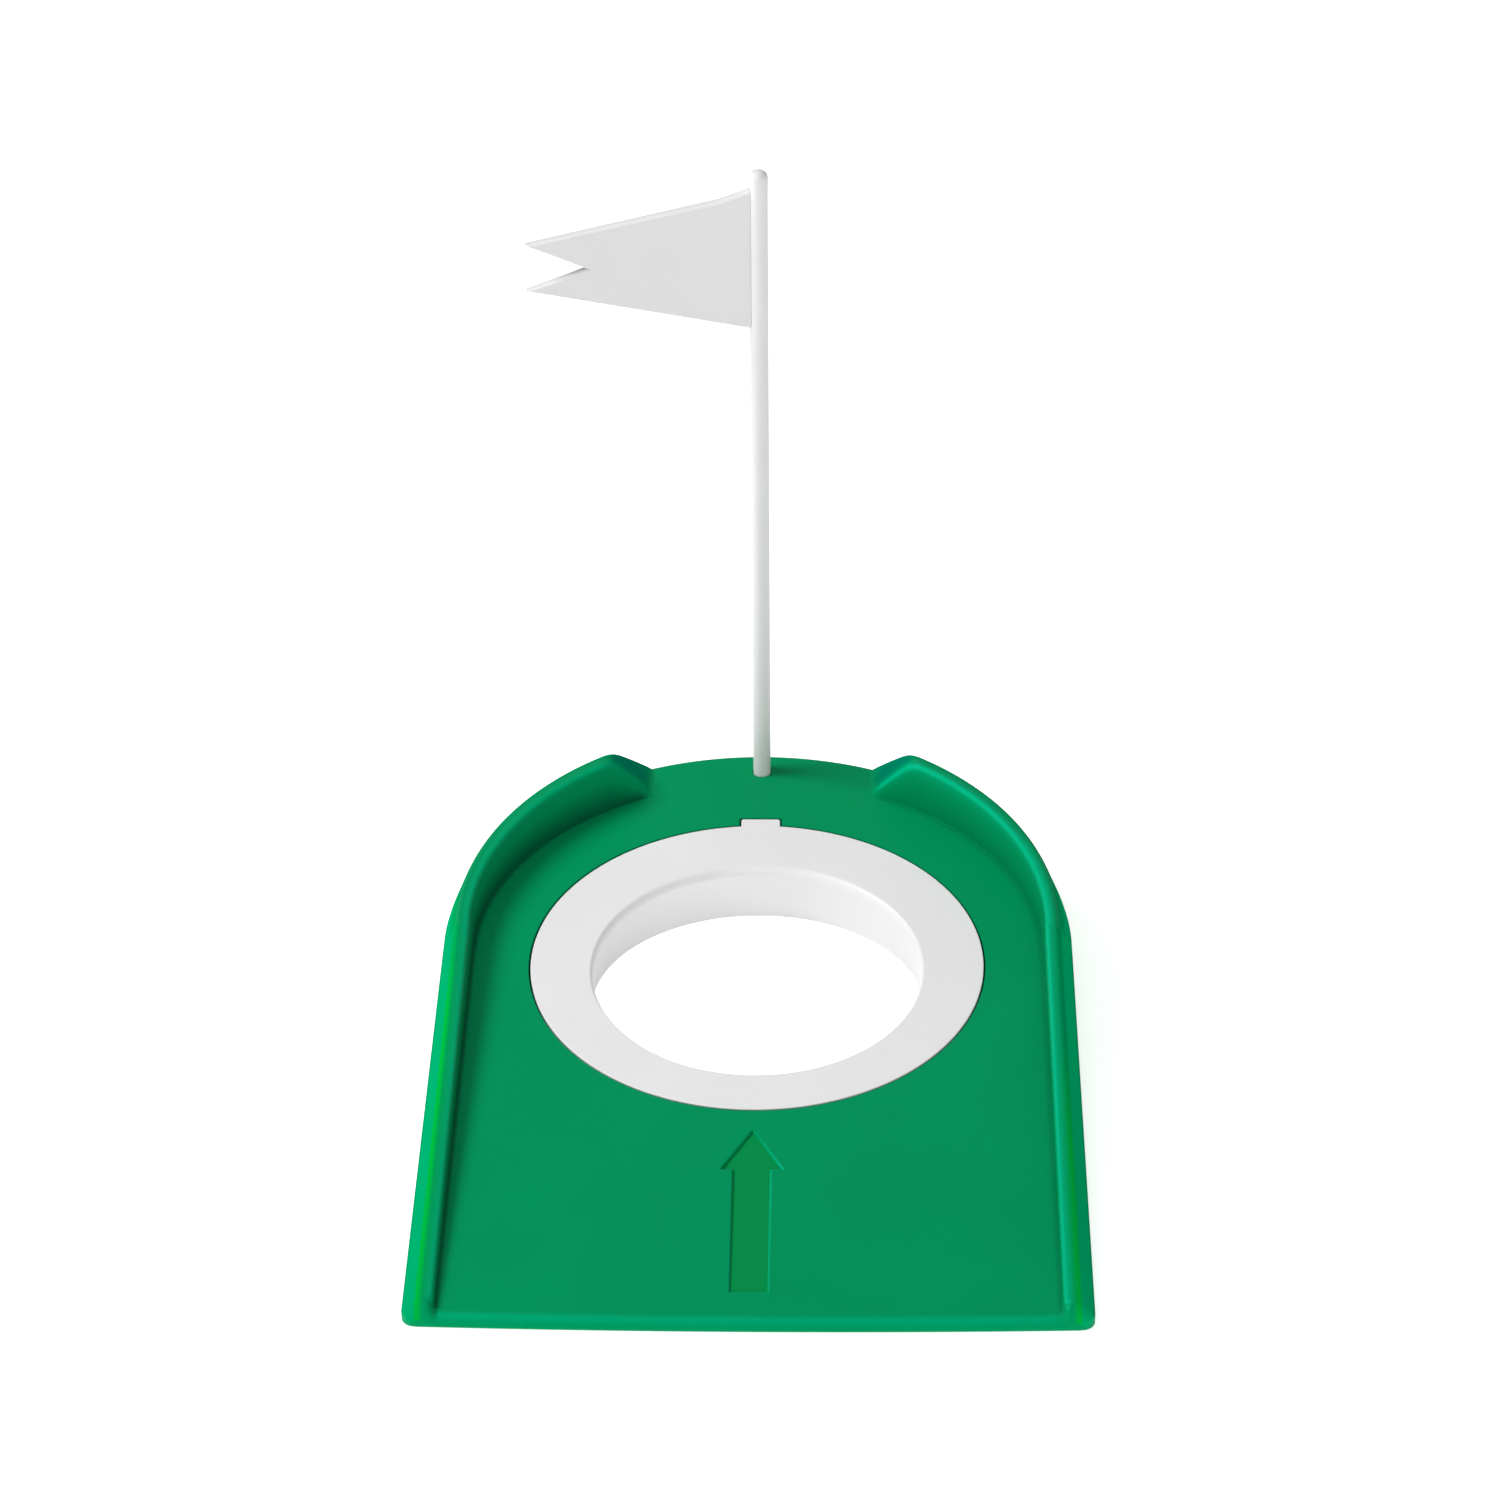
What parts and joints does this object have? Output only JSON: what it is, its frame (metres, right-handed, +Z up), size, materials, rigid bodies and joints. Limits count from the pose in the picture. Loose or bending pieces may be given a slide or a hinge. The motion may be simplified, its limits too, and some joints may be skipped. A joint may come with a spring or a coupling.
{
  "type": "putting cup with flag",
  "caption": "Ramped putting cup with raised side walls, a loose reducing ring in its hole and a lift-out flagpole with a swallow-tailed pennant.",
  "frame": {"origin": "centre of the base's footprint, on the floor", "axes": "+Y the way the ball rolls, up the ramp towards the hole and the flagpole; +X to the player's right; +Z up"},
  "size_m": [0.166, 0.23, 0.2024],
  "materials": {
    "green_plastic": "satin",
    "white_plastic": "satin",
    "pole_plastic": "satin",
    "pennant_plastic": "matte"
  },
  "bodies": {
    "base": {"putting_base": "green_plastic"},
    "ring": {"cup_ring": "white_plastic"},
    "pole": {"flag_pole": "pole_plastic"},
    "flag": {"pennant": "pennant_plastic"}
  },
  "joints": [
    {"name": "ring_lift", "type": "slide", "parent": "base", "child": "ring", "axis": [0, 0, 1], "range_m": [0, 0.035]},
    {"name": "pole_lift", "type": "slide", "parent": "base", "child": "pole", "axis": [0, 0, 1], "range_m": [0, 0.03]},
    {"name": "flag_turn", "type": "hinge", "parent": "pole", "child": "flag", "pos_m": [0, 0.1077, 0.178], "axis": [0, 0, 1], "continuous": true}
  ]
}
